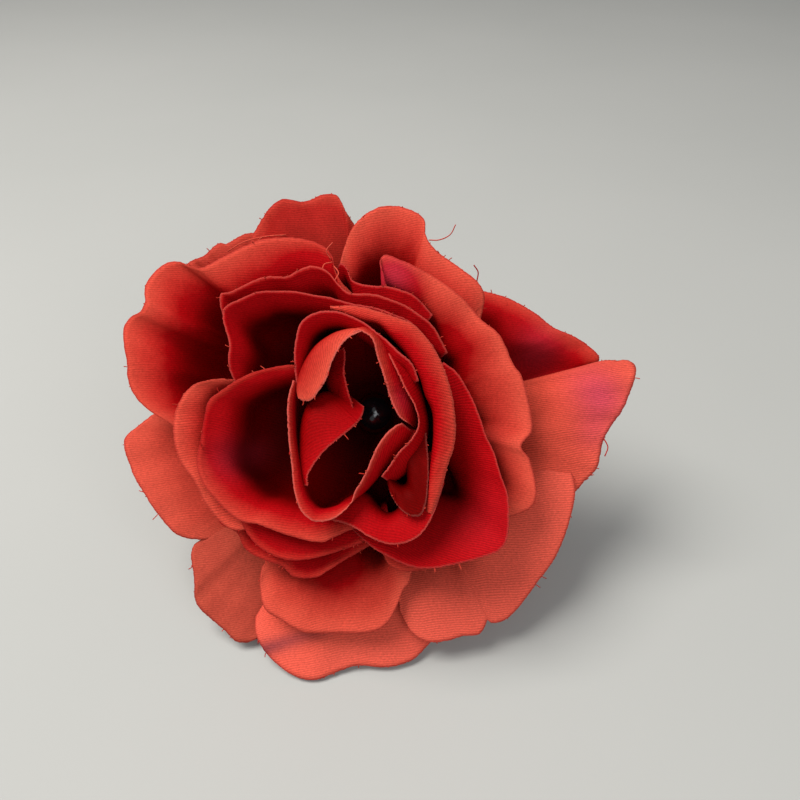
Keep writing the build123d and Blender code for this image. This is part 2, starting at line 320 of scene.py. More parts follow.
def pressed_felt():
    """Pressed felt: matted fibres of slightly different reds, with a soft fuzz over it."""
    n = Nodes("pressed_felt")
    place = n.add("ShaderNodeTexCoord", 3)
    wander = n.scaled(n.noise_vector(place, 300.0), 0.004)
    swirl = n.add("ShaderNodeVectorMath", 0, {"operation": "ADD"}, i0=place, i1=wander)
    fibres = n.ridges(swirl, 900.0, 4.0)
    clumps = n.noise(place, 350.0, 4.0, 0.6)
    colour = n.mix(n.span(fibres, 0.3, 1.2), rgb(0.16, 0.006, 0.012), rgb(0.42, 0.02, 0.028))
    colour = n.mix(n.span(clumps, 0.4, 0.7, 0.0, 0.5), colour, rgb(0.30, 0.012, 0.02))
    relief = n.bump(clumps, 0.25, 0.7, n.bump(fibres, 0.12, 0.9))
    return n.finish(n.principled(
        Base_Color=colour, Roughness=0.95, Specular_IOR_Level=0.1, Normal=relief,
        Sheen_Weight=0.5, Sheen_Roughness=0.5, Sheen_Tint=rgb(0.8, 0.2, 0.2),
    ))


def cloudy_glue():
    """Hot-melt glue: milky and half clear, with a smooth, slightly lumpy skin."""
    n = Nodes("cloudy_glue")
    lumps = n.noise(n.add("ShaderNodeTexCoord", 3), 220.0, 3.0, 0.5)
    colour = n.mix(lumps, rgb(0.86, 0.80, 0.66), rgb(0.93, 0.90, 0.82))
    return n.finish(n.principled(
        Base_Color=colour, Roughness=n.span(lumps, 0.3, 0.7, 0.2, 0.38), IOR=1.48,
        Normal=n.bump(lumps, 0.5, 0.8), Transmission_Weight=0.15, Subsurface_Weight=0.5,
        Subsurface_Scale=0.002,
    ))


def moulded(name, dark, light, roughness, grain, coat=0.0):
    """Moulded plastic: a fine spark grain, a faint flow pattern and a duller skin in places."""
    n = Nodes(name)
    place = n.add("ShaderNodeTexCoord", 3)
    flow = n.noise(place, 160.0, 4.0, 0.6)
    spark = n.noise(place, 2600.0, 2.0, 0.5)
    colour = n.mix(n.span(flow, 0.3, 0.7), dark, light)
    rough = n.span(flow, 0.3, 0.7, roughness * 0.85, roughness * 1.15)
    rough = n.plus(rough, n.times(spark, grain))
    return n.finish(n.principled(
        Base_Color=colour, Roughness=rough, Normal=n.bump(spark, grain * 0.3, 0.6),
        Coat_Weight=coat, Coat_Roughness=0.06, Subsurface_Weight=0.08, Subsurface_Scale=0.001,
    ))


def finish_frame_parts():
    """Gives every CAD piece, apart from the petals, its own material."""
    nickel = steel("nickel_plate", (0.78, 0.77, 0.74), 0.16, 0.01, (400, 400, 60))
    pin = steel("pin_steel", (0.62, 0.62, 0.61), 0.3, 0.01, (60, 900, 900))
    wire = steel("spring_wire", (0.50, 0.50, 0.51), 0.28, 0.015, (90, 1200, 1200))
    green = moulded("calyx_plastic", rgb(0.045, 0.13, 0.03), rgb(0.11, 0.25, 0.06), 0.5, 0.15)
    collar = moulded("collar_plastic", rgb(0.06, 0.16, 0.04), rgb(0.10, 0.22, 0.06), 0.45, 0.1)
    cap = moulded("cap_plastic", rgb(0.004, 0.004, 0.005), rgb(0.010, 0.010, 0.012), 0.16, 0.03, 0.8)
    glue = cloudy_glue()
    chosen = {
        "clip_base": nickel, "clip_prong": nickel, "clip_pin": pin, "clip_spring": wire, "calyx": green,
        "core_peg": collar, "centre_cap": cap, "felt_backing": pressed_felt(), "glue_pad_front": glue,
        "glue_pad_rear": glue,
    }
    for name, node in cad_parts.items():
        material = collar if name.startswith("spacer_collar") else chosen.get(name)
        if material:
            for k in range(len(node.data.materials)):
                node.data.materials[k] = material


# ---- petals --------------------------------------------------------------------------------------
def between(s, start, end, first, last):
    """The point at s on the straight way from first, at start, to last, at end."""
    return ((end - s) * first + (s - start) * last) / (end - start)


def smooth_columns(rows, samples):
    """Centripetal curves through rows of points (columns, 3): one curve for each column, finely sampled."""
    rows = [2 * rows[0] - rows[1], *rows, 2 * rows[-1] - rows[-2]]
    fine = []
    for i in range(len(rows) - 3):
        p = rows[i : i + 4]
        gaps = [np.linalg.norm(p[k + 1] - p[k], axis=1)[:, None] for k in range(3)]
        gaps = [np.maximum(gap, 1e-3) ** 0.5 for gap in gaps]
        t = [0 * gaps[0], gaps[0], gaps[0] + gaps[1], gaps[0] + gaps[1] + gaps[2]]
        for share in np.linspace(0, 1, samples, endpoint=False):
            s = t[1] + (t[2] - t[1]) * share
            a = [between(s, t[k], t[k + 1], p[k], p[k + 1]) for k in range(3)]
            b = [between(s, t[k], t[k + 2], a[k], a[k + 1]) for k in range(2)]
            fine.append(between(s, t[1], t[2], b[0], b[1]))
    return np.stack(fine + [rows[-2]], axis=1)


def path_lengths(grid, axis):
    """How far each point of the grid lies along its column, for axis 0, or its row, for axis 1."""
    steps = np.cumsum(np.linalg.norm(np.diff(grid, axis=axis), axis=2), axis=axis)
    return np.insert(steps, 0, 0.0, axis=axis)


def even_steps(fine, steps, crowding=1.0):
    """The same curves in steps of equal length, or with the steps closer together towards the end."""
    length = path_lengths(fine, 1)
    even = np.empty((len(fine), steps + 1, 3))
    for i, column in enumerate(fine):
        wanted = np.linspace(0, 1, steps + 1) ** crowding * length[i, -1]
        for k in range(3):
            even[i, :, k] = np.interp(wanted, length[i], column[:, k])
    return even


def smooth_line(points, steps):
    """A smooth curve through a list of points, in even steps."""
    rows = [np.array([point], float) for point in points]
    return even_steps(smooth_columns(rows, LINE_SAMPLES), steps)[0]


def soft_waves(count, most, falloff=0.7):
    """A smooth random line of count values, about -1 to 1, made of 1 to most waves."""
    t = np.linspace(0, 1, count)
    total = np.zeros(count)
    for k in range(1, most + 1):
        total += rng.normal() / k**falloff * np.sin(2 * pi * (k * t + rng.random()))
    return total / 1.6


def lip_crest(cut, claw, lip, up):
    """The crest of a rolled lip: it lies lip inside the rim and up above it, and less at the rim's ends."""
    inward = (claw - cut) * [1, 1, 0]
    inward /= np.linalg.norm(inward, axis=1, keepdims=True)
    u = np.linspace(0, 1, len(cut))
    taper = (0.25 + 0.75 * np.sin(pi * u) ** 0.6) * (1 + 0.2 * soft_waves(len(cut), 4))
    return cut + (inward * lip + [0, 0, up]) * taper[:, None]


def waved(grid, share, ruffle, swell):
    """The petal's grid pushed in and out: ruffled towards the rim, and swelling halfway up its wall."""
    normal = np.cross(np.gradient(grid, axis=0), np.gradient(grid, axis=1))
    normal /= np.maximum(np.linalg.norm(normal, axis=2, keepdims=True), 1e-9)
    waves = np.outer(soft_waves(len(grid), 4), share**3) * ruffle * 0.6
    waves += np.outer(soft_waves(len(grid), 9, 0.4), share**5) * ruffle * 0.45
    waves += np.outer(soft_waves(len(grid), 2), np.sin(pi * share) ** 1.5) * swell
    return grid + normal * waves[:, :, None]


def patches(grid, places):
    """Soft round patches on the grid, each at (x, y) with a size and a strength."""
    total = np.zeros(grid.shape[:2])
    for x, y, size, strength in places:
        away = np.linalg.norm(grid[:, :, :2] - [x, y], axis=2)
        total += strength * np.exp(-((away / size) ** 2))
    return total


def fold_shade_along(grid, start, end, width):
    """A soft band of painted shade from start to end, which fades towards its end."""
    start, run = np.array(start), np.array(end) - np.array(start)
    along = np.clip((grid[:, :, :2] - start) @ run / (run @ run), 0, 1)
    away = np.linalg.norm(grid[:, :, :2] - start - along[:, :, None] * run, axis=2)
    return np.exp(-((away / width) ** 2)) * (1 - 0.6 * along)


def petal(hub, rim, lip=6.0, up=1.5, foot=(0.72, 0.22), crest=None, ruffle=0.5, swell=0.5, spread=0.75,
          tint=0.5, brown=0.0, rib=0.6, edge=-0.5, shade_dim=1.0, sheen_patches=(), shade_patches=(), streak=None):
    """One petal's grid of points and its marks, from its claw on the hub to its cut rim.

    hub is (radius, height) and rim is a list of (x, y, height). The wall rises to a crest, and the cloth
    rolls over it to the rim. The crest is a list like the rim's, or else lies lip inside the rim and up
    above it. foot says how far out and how high the wall's foot is, as shares of the way from the claw to
    the crest. spread is the claw's width as a share of the rim's, in angle. tint is how light the petal's
    colour is, partly the cloth's own faded colour and partly painted light and shade, and a dimming value
    below 1 darkens the whole petal with painted shade. edge is how light its cut line is, partly a painted
    highlight, or below 0 how dark. Each sheen patch is a painted sheen (x, y, size, strength), each shade
    patch is painted shade that darkens the petal, and streak is painted shade in a fold (start, end, width).
    """
    hub_radius, hub_height = hub
    cut = smooth_line(rim, RIM_STEPS)
    count = len(cut)
    angles = np.unwrap(np.arctan2(cut[:, 1], cut[:, 0]))
    claw_angles = angles.mean() + (angles - angles.mean()) * spread
    claw = [hub_radius * np.cos(claw_angles), hub_radius * np.sin(claw_angles), np.full(count, hub_height)]
    claw = np.stack(claw, axis=1)
    top = smooth_line(crest, RIM_STEPS) if crest else lip_crest(cut, claw, lip, up)
    base = claw + (top - claw) * [foot[0], foot[0], foot[1]]
    wobble = [rng.normal(size=count), rng.normal(size=count), np.zeros(count)]
    cut = cut + np.stack(wobble, axis=1) * CUT_WOBBLE
    grid = even_steps(smooth_columns([claw, base, top, cut], WALL_SAMPLES), REACH_STEPS, RIM_CROWDING)
    share = np.linspace(0, 1, REACH_STEPS + 1) ** RIM_CROWDING
    grid = waved(grid, share, ruffle, swell)

    sideways = path_lengths(grid, 0)
    outward = path_lengths(grid, 1)
    to_side = np.minimum(sideways, sideways[-1:] - sideways)
    flat_spread = np.sign(angles[-1] - angles[0]) * sideways[-1, -1] / (hub_radius + outward[:, -1].mean())
    whole = np.ones(grid.shape[:2])
    # The dimming value lowers the reach as painted shade, the shade patches lower the tint as painted shade,
    # the sheen patches are painted sheen, and the streak is painted shade in a fold.
    return {
        "grid": grid,
        "hub": hub,
        "flat_angles": angles.mean() + np.linspace(-0.5, 0.5, count) * flat_spread,
        "reach": whole * share * shade_dim,
        "edge": whole * share**8 * edge,
        "gap": np.minimum(np.minimum(to_side, outward[:, -1:] - outward), WIDEST_GAP),
        "tint": whole * tint - patches(grid, shade_patches),
        "brown": whole * brown,
        "painted_sheen": patches(grid, sheen_patches),
        "rib": whole * rib,
        "fold_shade": fold_shade_along(grid, *streak) if streak else 0 * whole,
    }


def thread(points, radius, tint, steps=12):
    """A loose thread that has frayed out of a petal's cut rim."""
    return {"line": smooth_line(points, steps), "radius": radius, "tint": tint}


def frays(p):
    """Short yarn ends that stick out of a petal's cut rim."""
    grid = p["grid"]
    ends = []
    for i in rng.integers(4, len(grid) - 4, FRAYS_PER_PETAL):
        start = grid[i, -1]
        outward = start - grid[i, -3]
        outward /= np.linalg.norm(outward)
        lean = rng.normal(size=3) * 0.55
        curl = rng.normal(size=3) * 0.4
        size = FRAY_LENGTH * (0.2 + 0.8 * rng.random() ** 3)
        points = [start + size * share * (outward + lean + curl * share) for share in (-0.1, 0.3, 0.65, 1.0)]
        ends.append(thread(points, FRAY_RADIUS, 0.2 + 0.6 * rng.random(), 5))
    return ends


class ClothMesh:
    """Gathers a rosette's points, their places on the flat cloth and their marks, for one mesh."""

    def __init__(self):
        self.points, self.flat, self.spokes, self.faces = [], [], [], []
        self.marks = {key: [] for key in MARKS}

    def add_points(self, points, flat, spokes, values):
        """Adds points and returns the first one's number. flat and spokes are their two UV maps."""
        start = sum(len(p) for p in self.points)
        self.points.append(points)
        self.flat.append(flat)
        self.spokes.append(spokes)
        for key in MARKS:
            self.marks[key].append(np.broadcast_to(values.get(key, 0.0), len(points)))
        return start

    def add_petal(self, p):
        grid = p["grid"]
        rows, columns = grid.shape[:2]
        length = path_lengths(grid, 1) + p["hub"][0]
        angle = p["flat_angles"][:, None]
        flat = np.stack([length * np.cos(angle), length * np.sin(angle)], 2).reshape(-1, 2)
        spokes = np.stack([angle * 24 + 0 * length, length * 0.15], 2).reshape(-1, 2)
        values = {key: p[key].reshape(-1) for key in MARKS}
        start = self.add_points(grid.reshape(-1, 3), flat, spokes, values)
        for i in range(rows - 1):
            for j in range(columns - 1):
                a = start + i * columns + j
                self.faces.append((a, a + columns, a + columns + 1, a + 1))

    def add_hub(self, radius, height):
        turns = np.linspace(0, 2 * pi, HUB_STEPS, endpoint=False)
        rings = []
        for ring_radius in (HOLE_RADIUS, radius + HUB_OVERLAP):
            ring = [ring_radius * np.cos(turns), ring_radius * np.sin(turns), np.full(HUB_STEPS, height)]
            ring = np.stack(ring, axis=1)
            values = {"tint": 0.5, "gap": WIDEST_GAP}
            rings.append(self.add_points(ring, ring[:, :2], ring[:, :2], values))
        for i in range(HUB_STEPS):
            k = (i + 1) % HUB_STEPS
            self.faces.append((rings[0] + i, rings[1] + i, rings[1] + k, rings[0] + k))

    def add_thread(self, loose):
        """A three-sided tube along the thread's line."""
        line = loose["line"]
        along = np.gradient(line, axis=0)
        along /= np.linalg.norm(along, axis=1, keepdims=True)
        side = np.cross(along, [0.3, 0.2, 0.93])
        side /= np.linalg.norm(side, axis=1, keepdims=True)
        third = np.cross(along, side)
        corners = [cos(angle) * side + sin(angle) * third for angle in (0, 2 * pi / 3, 4 * pi / 3)]
        tube = np.concatenate([line + loose["radius"] * corner for corner in corners])
        values = {"tint": loose["tint"], "reach": 1.0, "gap": WIDEST_GAP}
        start = self.add_points(tube, tube[:, :2], tube[:, :2], values)
        count = len(line)
        for k in range(3):
            for i in range(count - 1):
                a = start + k * count + i
                b = start + (k + 1) % 3 * count + i
                self.faces.append((a, b, b + 1, a + 1))

    def make(self, name):
        mesh = bpy.data.meshes.new(name)
        mesh.from_pydata(to_row(np.concatenate(self.points)).tolist(), [], self.faces)
        corner = np.empty(len(mesh.loops), int)
        mesh.loops.foreach_get("vertex_index", corner)
        for title, places in (("flat_grain", self.flat), ("spokes", self.spokes)):
            places = np.concatenate(places)[corner].reshape(-1)
            mesh.uv_layers.new(name=title).data.foreach_set("uv", places)
        for key, parts in self.marks.items():
            values = np.concatenate(parts).astype(np.float32)
            mesh.attributes.new(key, "FLOAT", "POINT").data.foreach_set("value", values)
        mesh.shade_smooth()
        return mesh


def rosette(name, node, material, petals, threads=()):
    """One die-cut rosette: petals, hub and loose threads as one piece of cloth, in place of its CAD node.
    """
    cloth = ClothMesh()
    for p in petals:
        cloth.add_petal(p)
    cloth.add_hub(*petals[0]["hub"])
    for loose in [*threads, *(end for p in petals for end in frays(p))]:
        cloth.add_thread(loose)
    mesh = cloth.make(name)
    mesh.materials.append(material)
    piece = bpy.data.objects.new(name, mesh)
    bpy.context.collection.objects.link(piece)
    thick = piece.modifiers.new("thickness", "SOLIDIFY")
    thick.thickness = CLOTH_THICKNESS * MM
    thick.offset = 0
    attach(piece, "rose")
    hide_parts(node)


outer_cloth = petal_cloth("outer_petal_cloth", 84)
inner_cloth = petal_cloth("inner_petal_cloth", 98)


def layer_hub(k, radius):
    """Radius and height of the hub of petal layer k, where the highest number is the outermost layer."""
    return radius, FIRST_HUB + HUB_PITCH * (LAYERS - k)


def outer_layer():
    """The widest rosette, whose petals lie back over the calyx."""
    hub = layer_hub(6, 9.0)
    bottom = [
        (-26, -44, 22), (-25.5, -47, 23), (-23, -51, 24), (-17.5, -55, 25.4), (-13, -56, 26),
        (-7, -54.3, 24.8), (-4, -53.5, 24.5), (3, -53.8, 24.6), (8, -52.5, 24), (12, -49.3, 22.5),
        (15.5, -46, 21), (15, -40, 18),
    ]
    lower_left = [
        (-31, -26.5, 18), (-39.8, -29, 20.5), (-39.3, -36, 21.5), (-38.9, -41, 21.5), (-36, -44.2, 21.5),
        (-33, -46.6, 21.5), (-29.6, -49.5, 21.5), (-26, -49, 21), (-23, -45, 19),
    ]
    left = [
        (-40, 6, 20), (-48.4, 0, 22), (-51.5, -2.6, 22.5), (-54.3, -5.5, 23), (-52.8, -12, 23),
        (-49.7, -17.4, 23), (-46, -23, 22.5), (-43, -26.2, 22), (-38.7, -27.5, 21), (-34.5, -27, 20),
        (-29, -25, 18),
    ]
    upper_left = [
        (-44, 26, 18), (-42, 33.7, 19), (-38.6, 35.2, 19.5), (-35, 38.1, 20), (-33.5, 37.9, 20),
        (-30.8, 39.5, 20), (-27, 40.4, 20), (-23, 38, 19),
    ]
    top = [
        (-28.4, 30, 20), (-27.5, 38.5, 22), (-23.3, 44.7, 23), (-20.2, 46.9, 23), (-16, 46.6, 22.5),
        (-11.4, 48.2, 22.5), (-8.6, 48, 22.5), (-6.8, 44.7, 22), (-4.6, 41.6, 21.5), (-1, 36, 20),
    ]
    right_upper = [
        (20, 28, 20), (27.6, 25.9, 22), (31, 24.3, 22.5), (35.1, 21.7, 23), (38.7, 18.8, 23),
        (42.9, 17, 23), (46.2, 15, 22.5), (49, 11.9, 22), (44, 8, 18),
    ]
    right = [
        (43, 9, 21), (48.5, 10.9, 22), (51.6, 11.8, 23), (54.4, 11.8, 23.5), (56.4, 10.3, 23.5),
        (55.7, 6.8, 24), (53, 0.4, 24), (49.4, -5.2, 24), (48.5, -9.2, 23.5), (47.6, -12.2, 23),
        (45.2, -14.6, 22.5), (42.6, -17.7, 21), (36, -18, 18),
    ]
    lower_right = [
        (37, -4, 21), (40.5, -8.8, 22), (42, -11.9, 23), (42.9, -16, 24), (41.4, -23.5, 24.5),
        (38.5, -30.4, 25), (35, -35.4, 25), (29.9, -41.8, 25), (27.5, -43.8, 25), (24.6, -44.4, 25),
        (23.8, -43.7, 25.2), (23.2, -45.2, 25.4), (22, -46.6, 25.6), (18.3, -46.9, 26),
        (15.6, -47.7, 26.2), (11.4, -48, 26.2), (8.1, -46.4, 26), (5.3, -42.2, 25),
    ]
    laid_back = {"lip": 16.0, "up": -2.0, "foot": (0.55, 0.3)}
    # The streak and the shade patches below are painted shade, and the rosy patches painted sheen.
    petals = [
        petal(hub, bottom, **laid_back, tint=2.2, streak=[(-24, -50.4), (-10, -45.4), 1.6],
              shade_patches=[(-20, -42, 4, 0.4)]),
        petal(hub, lower_left, **laid_back, ruffle=0.3, tint=0.8, brown=0.95),
        petal(hub, left, **laid_back, tint=1.3, brown=0.2),
        petal(hub, upper_left, **laid_back, ruffle=0.8, tint=0.6, brown=0.4),
        petal(hub, top, **laid_back, ruffle=0.8, tint=0.55, brown=0.25, shade_patches=[(-16, 39, 7, 0.4)]),
        petal(hub, right_upper, lip=7, up=-1.0, foot=(0.7, 0.3), ruffle=0.3, swell=0.3, tint=0.6, rib=0.3,
              sheen_patches=[(36, 15, 5, 0.2)]),
        petal(hub, right, lip=15, up=1.0, foot=(0.6, 0.35), ruffle=0.5, tint=1.7, rib=1.0,
              sheen_patches=[(47, -4, 4, 0.4), (49, 3, 5, 0.7), (46, 6, 5, 0.4)]),
        petal(hub, lower_right, lip=13, up=-1.0, foot=(0.65, 0.35), ruffle=0.4, tint=2.3, rib=0.8),
    ]
    threads = [
        thread([(-33, 36, 20.5), (-29, 37.8, 22), (-24, 38.8, 22.8), (-19.5, 39, 23.3)], 0.05, 1.4),
        thread([(-31, 35, 21), (-27.5, 36.6, 22.4), (-24.8, 38.6, 23)], 0.04, 1.2),
        thread([(49.2, -5.4, 24), (50.0, -7.2, 24.2), (49.3, -9.2, 24.3)], 0.05, 0.2),
    ]
    rosette("petals_6_outer", "petal_layer_6_outer", outer_cloth, petals,
            threads=threads)


def layer_5():
    """Three broad petals that stand out past the inner layers, at the left, top and bottom."""
    hub = layer_hub(5, 8.0)
    left = [
        (-38, -8, 29), (-41.3, -3.1, 30), (-46.5, 0.4, 30), (-49.8, 3.7, 30), (-51.3, 7.7, 30),
        (-51.3, 10.4, 30.2), (-52.1, 14.3, 30), (-52.3, 18, 29.5), (-50.8, 19.9, 30), (-48.6, 20.8, 31),
        (-47.3, 22.8, 31.5), (-47.7, 25.9, 30.5), (-46.5, 29, 29.5), (-43.4, 31.5, 29.5),
        (-41.1, 31.5, 30), (-39, 30.7, 31), (-35.7, 29.9, 32), (-32, 31.5, 32.5), (-26.8, 34, 33),
        (-22.8, 35.5, 33), (-16.8, 35.8, 33.5), (-12.9, 35, 34), (-10, 33.6, 34.5), (-8.4, 31.6, 34.8),
        (-8, 29.5, 34.8), (-6.6, 26.6, 34.4), (-4, 24, 33.5),
    ]
    top = [
        (-8, 30, 27), (-5.7, 37.4, 27.5), (-4.2, 40, 28), (-1.5, 42.5, 28), (2.5, 44, 28), (7, 43.4, 28),
        (10.6, 41, 28), (11, 37, 29), (12.5, 34.5, 29.5), (17.6, 30.5, 30), (21.6, 27.3, 30),
        (23, 24.7, 29.5), (22, 18, 28),
    ]
    bottom = [
        (-21, -27, 27), (-23.7, -33.6, 28), (-23.9, -36.2, 28), (-22.8, -40.6, 28.5),
        (-19.2, -42.9, 28.8), (-14.6, -45.3, 29), (-10.6, -45.5, 29), (-5.3, -45.5, 29),
        (-0.8, -45.3, 29), (2.3, -43.8, 29), (4.4, -40.6, 29), (5.9, -36.8, 29), (7.2, -34.9, 29),
        (8, -28, 27),
    ]
    # The shade patches below are painted shade.
    petals = [
        petal(hub, left, lip=11, up=-2.6, foot=(0.74, 0.1), ruffle=0.5, swell=0.3, tint=0.8, rib=0.6,
              shade_patches=[(-12, 30, 8, 0.4)]),
        petal(hub, top, lip=12, up=-2.5, foot=(0.7, 0.12), ruffle=0.5, tint=1.0),
        petal(hub, bottom, lip=12, up=-1.0, foot=(0.7, 0.25), ruffle=0.4, tint=1.2,
              shade_patches=[(-8, -32, 6, 0.5)]),
    ]
    threads = [
        thread([(-8.6, 31, 34.8), (-9.5, 32.6, 35.4), (-8.2, 34.2, 35.8)], 0.05, 1.6),
        thread([(-8.3, 30.4, 34.9), (-9.9, 29.8, 35.5), (-10.3, 28.3, 35.6)], 0.05, 1.2),
        thread([(-8, 29.6, 34.9), (-7, 28, 35.7), (-7.8, 26.4, 35.9)], 0.045, 1.6),
        thread([(11.4, 36.4, 29), (13.6, 36.2, 30), (15.8, 37.2, 30.5), (16.9, 39.2, 30.8)], 0.045, 0.6),
        thread([(21.4, 27.6, 29.9), (21.6, 29.4, 30.3), (20.7, 30.8, 30.5)], 0.06, -0.2),
    ]
    rosette("petals_5", "petal_layer_5", outer_cloth, petals,
            threads=threads)


def layer_4():
    """Six upright petals, two of which show only as slivers between their neighbours."""
    hub = layer_hub(4, 7.0)
    right = [
        (3, 24, 33), (2, 29, 33.8), (2, 32, 34), (7, 30.4, 34), (12.1, 27.7, 34), (18, 23.4, 33.8),
        (21.8, 19, 33.6), (25.5, 16, 33.5), (28.4, 9.8, 33.5), (30, 7.5, 33.5), (32, -1.4, 33.5),
        (32, -3.8, 33.5), (29.8, -6.8, 34), (31.3, -9.2, 33.8), (33, -16, 33.2), (32.4, -18.6, 33),
        (30, -20.2, 33), (25, -22, 31),
    ]
    left = [
        (-24, 6, 36), (-30.6, 6.8, 37), (-35, 5.8, 37), (-37.4, 3.6, 37), (-39, 0.4, 37),
        (-39.4, -3.6, 37), (-39, -7, 37), (-37.8, -10, 37), (-35.4, -13.3, 37), (-33.2, -17.9, 36.5),
        (-29.8, -22, 36), (-26.7, -23.3, 36), (-22, -22, 35),
    ]
    lower = [
        (-33, -17, 33), (-31, -22.3, 33), (-27.6, -24.2, 33), (-26, -27.4, 33), (-22.3, -29.6, 33),
        (-18.4, -31, 33), (-16.2, -33, 33), (-11.5, -33.2, 33), (-8.6, -31.5, 33), (-4.5, -29, 33),
        (1, -26, 32),
    ]
    top = [
        (-29, 17, 36), (-30.4, 21.5, 37), (-30.4, 23.6, 37), (-28.6, 24, 37.3), (-24.8, 25.6, 38),
        (-21, 26.8, 38), (-16.8, 27, 38), (-14.5, 28.1, 38), (-11.9, 28.7, 38), (-9.1, 27.8, 38),
        (-7.3, 25.5, 38.3), (-5, 23.6, 38.5), (0, 23.2, 38.5), (5.5, 21.7, 38), (8.7, 19.4, 38),
        (11.9, 17.2, 37), (15, 12, 35),
    ]
    hidden = [
        (1, -26, 32.5), (3, -30.5, 33), (5.5, -31.8, 33.3), (10.1, -31.6, 33.4), (14, -29.8, 33),
        (15, -25, 32),
    ]
    tucked = [
        (-8, 29, 32.5), (-6.8, 30.6, 33), (-5.4, 29.2, 33.4), (-4, 26.8, 33.8), (-1, 25.8, 34.2),
        (3, 25.5, 34.2), (8, 24, 34), (12, 20, 33),
    ]
    # The shade patches below are painted shade, and the rosy patch painted sheen.
    petals = [
        petal(hub, right, lip=9, up=-2.4, foot=(0.8, 0.05), ruffle=0.5, tint=1.1, rib=0.5,
              sheen_patches=[(4, 28, 4, 0.4)], shade_patches=[(4, 27, 6, 1.0), (16, 14, 6, 0.4)]),
        petal(hub, left, lip=6, up=-2.2, foot=(0.82, 0.1), ruffle=0.3, tint=0.85, rib=0.9),
        petal(hub, lower, lip=5, up=-2.2, foot=(0.8, 0.15), ruffle=0.3, tint=0.4),
        petal(hub, top, lip=4, up=-3.6, foot=(0.85, 0.08), ruffle=0.5, tint=0.2, edge=0.4),
        petal(hub, hidden, lip=5, up=-1.0, foot=(0.8, 0.15), ruffle=0.2, tint=0.6, rib=0.8),
        petal(hub, tucked, lip=5, up=-3.0, foot=(0.85, 0.1), ruffle=0.2, tint=0.1, edge=0.4),
    ]
    rosette("petals_4", "petal_layer_4", outer_cloth, petals)


def layer_3():
    """The first cupped layer, with two wide petals that wrap the rose from the left and the right."""
    hub = layer_hub(3, 6.0)
    left = [
        (-11, 7, 39), (-15, 9, 40), (-21.5, 8, 40.5), (-26, 6.2, 40.5), (-29.2, 4.3, 40),
        (-31.8, 2.3, 39.8), (-32.8, -1.6, 39.6), (-33.4, -5.7, 39.5), (-34.2, -9.4, 39),
        (-33.5, -13, 38.8), (-30.8, -16.8, 38.6), (-26, -21, 38.5), (-22, -22, 38.6), (-15.8, -24, 39),
        (-10, -25.2, 39), (-7.6, -24.3, 39.2), (-3.5, -22.6, 39), (0, -22.4, 37.5),
    ]
    right = [
        (14, 10, 37), (16.6, 7.8, 38), (19.2, 3.3, 38.6), (21.2, -1.6, 39), (22, -4.5, 39), (24, -9, 39),
        (25.2, -12.7, 39), (26.3, -16.5, 39), (26.6, -20.4, 38.8), (26.1, -24.9, 38.4),
        (24.7, -27, 38.2), (21.9, -28.2, 38), (16.4, -29.4, 38), (11.9, -30.4, 38), (8, -30.2, 38),
        (3.1, -28.2, 38), (-1.5, -25.4, 37), (-5, -22.6, 34.5),
    ]
    top = [
        (-26, 4, 38), (-28, 9.5, 39.5), (-27.8, 13.5, 40), (-29, 19.9, 40), (-25.4, 22.1, 40.3),
        (-22.4, 23.4, 40.5), (-18, 23.4, 40.5), (-14.2, 23.2, 40.5), (-10.1, 22.4, 40.5),
        (-6.4, 21.4, 40.5), (0, 20.5, 40.5), (7, 18, 40), (12, 13, 38),
    ]
    low = [
        (-28, -17, 34), (-25.9, -22.5, 35.5), (-22.7, -26.5, 36), (-17.6, -29, 36), (-13, -29, 36),
        (-6.6, -27.3, 36), (-1.2, -25, 36), (3, -20, 35),
    ]
    # The shade patches below are painted shade, and the rosy patches painted sheen.
    petals = [
        petal(hub, left, lip=5.5, up=-3.0, foot=(0.86, 0.08), ruffle=0.3, tint=0.6, rib=0.7,
              sheen_patches=[(-28, -9, 4, 0.2)], shade_patches=[(-31, -3, 7, 0.4), (-20, 6, 8, 0.3)]),
        petal(hub, right, lip=12, up=-7.0, foot=(0.85, 0.12), ruffle=0.4, tint=0.1, edge=0.3, rib=1.0,
              sheen_patches=[(22, -22, 8, 0.05)]),
        petal(hub, top, lip=4, up=-4.0, foot=(0.9, 0.06), ruffle=0.5, tint=0.15, edge=0.4),
        petal(hub, low, lip=5, up=-2.4, foot=(0.85, 0.1), ruffle=0.3, tint=0.35),
    ]
    rosette("petals_3", "petal_layer_3", inner_cloth, petals)


